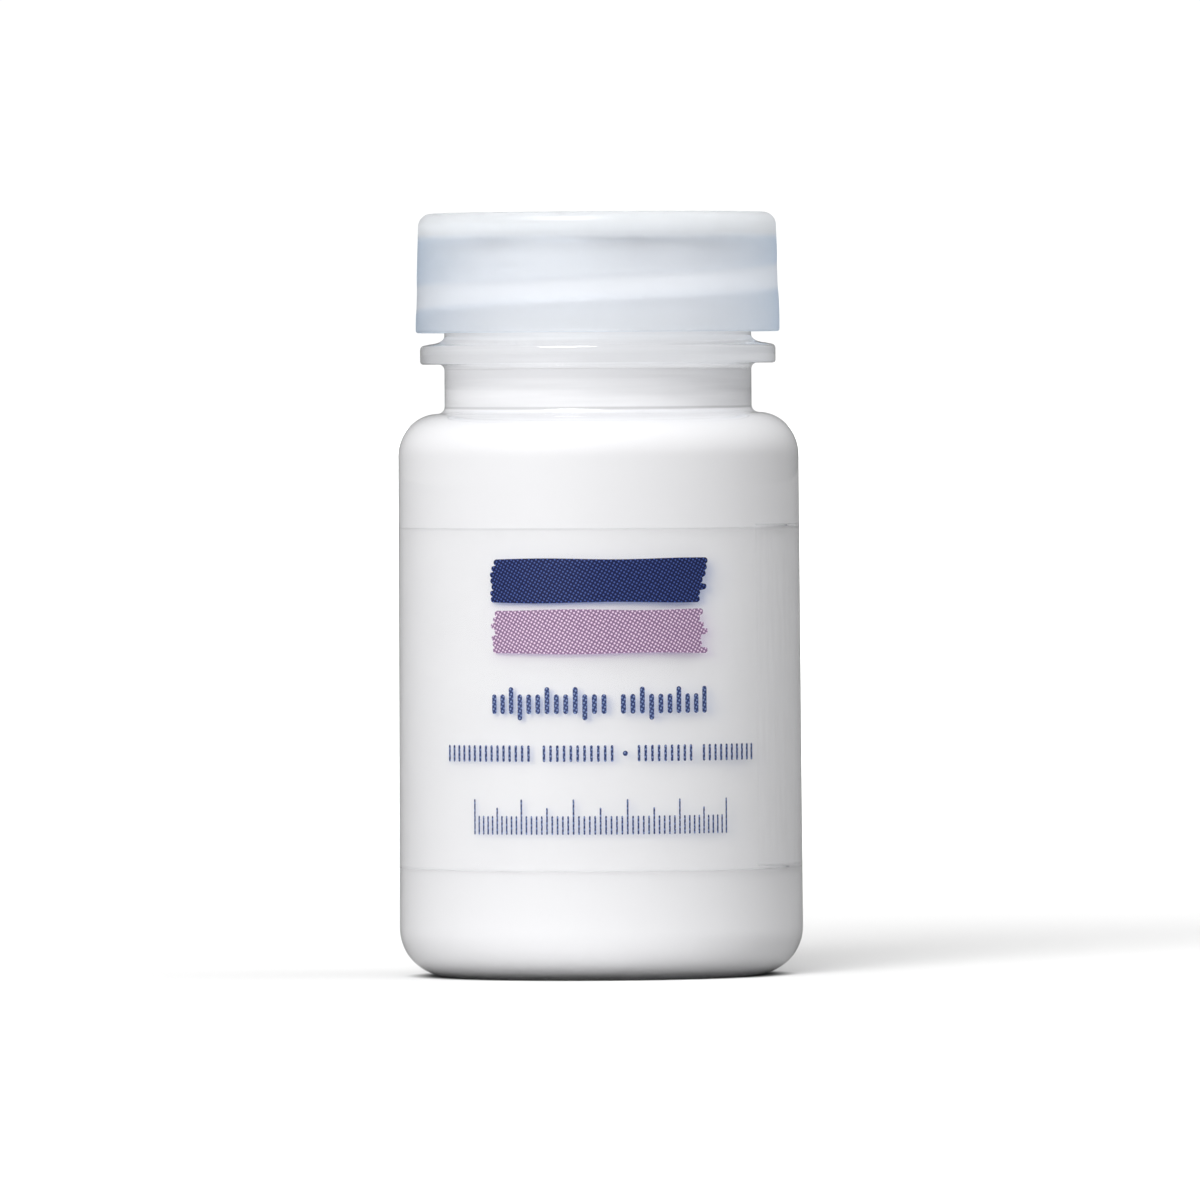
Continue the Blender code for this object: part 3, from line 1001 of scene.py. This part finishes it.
def make_print():
    """Two strokes of paint, then plain bars that stand for lines of words, and a fine scale."""
    navy = ink_material("navy_halftone_ink", "#08123F", "#4C62A8", "#A9BEE6", 0.32, 0.26)
    mauve = ink_material("mauve_halftone_ink", "#86688A", "#E9D3E7", "#E8DCF2", 0.32, 0.3)
    blue = ink_material("blue_line_ink", "#2A3766", "#7F90BC", "#B9CAEC", 0.32, 0.3)
    brush_stroke("print_navy_stroke", 38.5 * MM, 22.2 * MM, 4.2 * MM, 7, 4, navy)
    brush_stroke("print_mauve_stroke", 33.6 * MM, 22.0 * MM, 4.2 * MM, 7, 9, mauve)
    bm = bmesh.new()
    rhythm = (1.9, 1.9, 2.6, 1.9, 1.9, 1.9, 2.6)
    hang = (0.0, 0.0, 0.0, 0.6, 0.0, 0.0, 0.0)
    for start, end in ((-10.9, 0.9), (2.0, 11.0)):
        bar_row(bm, start, end, 25.7, 0.92, 0.48, rhythm, hang)
    printed("print_bold_bars", bm, blue)
    bm = bmesh.new()
    for start, end in ((-16.4, -7.0), (-5.6, 1.2), (3.6, 8.9), (10.3, 16.6)):
        bar_row(bm, start, end, 21.1, 0.66, 0.25, (1.6,))
    bar(bm, (2.4 * MM, 21.9 * MM), (0.5 * MM, 0.5 * MM), 0.25 * MM)
    printed("print_small_bars", bm, blue)
    bm = bmesh.new()
    bar_row(bm, -13.1, 13.1, 14.1, 0.52, 0.17, (3.4, *(1.8,) * 4, 2.6, *(1.8,) * 4))
    printed("print_fine_scale", bm, blue)


# ---- Studio ----


def make_floor():
    """White sweep. It lights the jar best from close by, and most from the front, so that the jar's edges
    stay dark against it. Far away it glows for the camera and meets the background without a line. Where the
    jar stands it is painted dark, as a painted contact shadow."""
    material, tree = new_material("white_sweep")
    place = add(tree, "ShaderNodeTexCoord")
    distance = add(tree, "ShaderNodeVectorMath", {0: place.outputs["Object"]}, operation="LENGTH")
    path = add(tree, "ShaderNodeLightPath")
    narrowed = add(
        tree,
        "ShaderNodeVectorMath",
        {0: place.outputs["Object"], 1: (1.3, 0.95, 1.0)},
        operation="MULTIPLY",
    )
    spread = add(tree, "ShaderNodeVectorMath", {0: narrowed.outputs[0]}, operation="LENGTH")
    bounce = add(
        tree,
        "ShaderNodeMapRange",
        {
            "Value": spread.outputs["Value"],
            "From Min": 16 * MM,
            "From Max": 34 * MM,
            "To Min": 0.6,
            "To Max": 0.14,
        },
    )
    seen = add(
        tree,
        "ShaderNodeMix",
        {"Factor": path.outputs["Is Camera Ray"], 2: bounce.outputs["Result"], 3: 0.66},
    )
    # painted contact shadow: the floor is dark where the jar stands
    painted_contact_shadow = add(
        tree,
        "ShaderNodeMapRange",
        {"Value": distance.outputs["Value"], "From Min": 16 * MM, "From Max": 19.5 * MM, "To Min": 0.03},
        interpolation_type="SMOOTHSTEP",
    )
    tone = add(
        tree,
        "ShaderNodeMath",
        {0: seen.outputs[0], 1: painted_contact_shadow.outputs["Result"]},
        operation="MULTIPLY",
    )
    far = add(
        tree,
        "ShaderNodeMapRange",
        {"Value": distance.outputs["Value"], "From Min": 0.2, "From Max": 1.0, "To Max": 0.6},
    )
    glow = add(
        tree,
        "ShaderNodeMath",
        {0: far.outputs["Result"], 1: path.outputs["Is Camera Ray"]},
        operation="MULTIPLY",
    )
    grey = add(
        tree,
        "ShaderNodeCombineColor",
        {"Red": tone.outputs[0], "Green": tone.outputs[0], "Blue": tone.outputs[0]},
    )
    shader = add(
        tree,
        "ShaderNodeBsdfPrincipled",
        {
            "Base Color": grey.outputs[0],
            "Roughness": 0.9,
            "Specular IOR Level": 0.1,
            "Emission Color": (1.0, 1.0, 1.0, 1.0),
            "Emission Strength": glow.outputs[0],
        },
    )
    add(tree, "ShaderNodeOutputMaterial", {"Surface": shader.outputs[0]})
    bm = bmesh.new()
    bmesh.ops.create_grid(bm, x_segments=1, y_segments=1, size=20.0)
    floor = finish_mesh(bm, "studio_floor", material)
    return floor


def make_world():
    """A white room, brightest overhead and to the left. What the camera sees of it, directly or through the
    clear plastic, is plain white."""
    world = bpy.data.worlds.new("soft_white_studio")
    world.use_nodes = True
    tree = world.node_tree
    tree.nodes.clear()
    place = add(tree, "ShaderNodeTexCoord")
    across = add(
        tree,
        "ShaderNodeVectorMath",
        {0: place.outputs["Generated"], 1: (-0.18, -0.12, 0.0)},
        operation="DOT_PRODUCT",
    )
    parts = add(tree, "ShaderNodeSeparateXYZ", {"Vector": place.outputs["Generated"]})
    overhead = add(tree, "ShaderNodeMapRange", {"Value": parts.outputs["Z"], "To Min": 0.32})
    room = add(
        tree,
        "ShaderNodeMath",
        {0: across.outputs["Value"], 1: overhead.outputs["Result"]},
        operation="ADD",
    )
    path = add(tree, "ShaderNodeLightPath")
    looking = add(
        tree,
        "ShaderNodeMath",
        {0: path.outputs["Is Camera Ray"], 1: path.outputs["Is Transmission Ray"]},
        operation="MAXIMUM",
    )
    strength = add(
        tree,
        "ShaderNodeMix",
        {"Factor": looking.outputs[0], 2: room.outputs[0], 3: PLAIN_WHITE},
    )
    background = add(
        tree,
        "ShaderNodeBackground",
        {"Color": (1.0, 1.0, 1.0, 1.0), "Strength": strength.outputs[0]},
    )
    add(tree, "ShaderNodeOutputWorld", {"Surface": background.outputs[0]})
    bpy.context.scene.world = world


def aim(obj, place, target, roll=0.0):
    back = (Vector(place) - Vector(target)).normalized()
    obj.location = place
    turn = back.to_track_quat("Z", "Y").to_matrix() @ Matrix.Rotation(roll, 3, "Z")
    obj.rotation_euler = turn.to_euler()


def make_sun(name, energy, spread_deg, side_deg, up_deg):
    """A wide sun lamp, this far round to the right of the front and this far up. The plastic doesn't mirror
    it."""
    lamp = bpy.data.lights.new(name, "SUN")
    lamp.energy = energy
    lamp.angle = math.radians(spread_deg)
    sun = bpy.data.objects.new(name, lamp)
    sun.visible_glossy = False
    sun.visible_transmission = False
    bpy.context.scene.collection.objects.link(sun)
    side, up = math.radians(side_deg), math.radians(up_deg)
    aim(sun, (math.sin(side) * math.cos(up), -math.cos(side) * math.cos(up), math.sin(up)), (0, 0, 0))
    return sun


def shine_only_on(lamp, *pieces):
    """Links the lamp's light to these pieces."""
    lit = bpy.data.collections.new("lit_by_" + lamp.name)
    for piece in pieces:
        lit.objects.link(piece)
    lamp.light_linking.receiver_collection = lit


def make_lamps(floor, cap, coat):
    """A big soft key from the front left and a fill from the right. A low lamp lights the floor alone, and a
    snooted one from the right lights the cap and what shows through it. A high one gives no light but glints
    on round edges."""
    make_sun("key", 2.42, 40, -28, 13)
    make_sun("fill", 0.95, 60, 86, 42)
    shine_only_on(make_sun("floor_lamp", 10.2, 40, -15, 8), floor)
    shine_only_on(make_sun("cap_lamp", 1.0, 50, 74, 30), cap, coat)
    glints = make_sun("glint_lamp", 3.0, 30, -30, 58)
    glints.visible_glossy = True
    glints.visible_diffuse = False


def make_camera():
    """A long lens a little above the table, almost level, and leaning a touch."""
    data = bpy.data.cameras.new("camera")
    data.sensor_width = 36.0
    away = 1.75
    view_width = 116.5 * MM
    data.lens = data.sensor_width * away / view_width
    data.clip_start = 0.1
    data.clip_end = 100.0
    camera = bpy.data.objects.new("camera", data)
    bpy.context.scene.collection.objects.link(camera)
    middle = 36.4 * MM
    offset = 0.06 * MM
    aim(camera, (offset, -away, 58 * MM), (offset, 0.0, middle), math.radians(-0.37))
    bpy.context.scene.camera = camera
    bpy.context.scene.view_settings.view_transform = "Standard"
    bpy.context.scene.cycles.transparent_max_bounces = 32


make_camera()
make_world()
make_jar()
coat = make_paint()
make_liner()
cap = make_cap()
make_label()
make_print()
make_lamps(make_floor(), cap, coat)
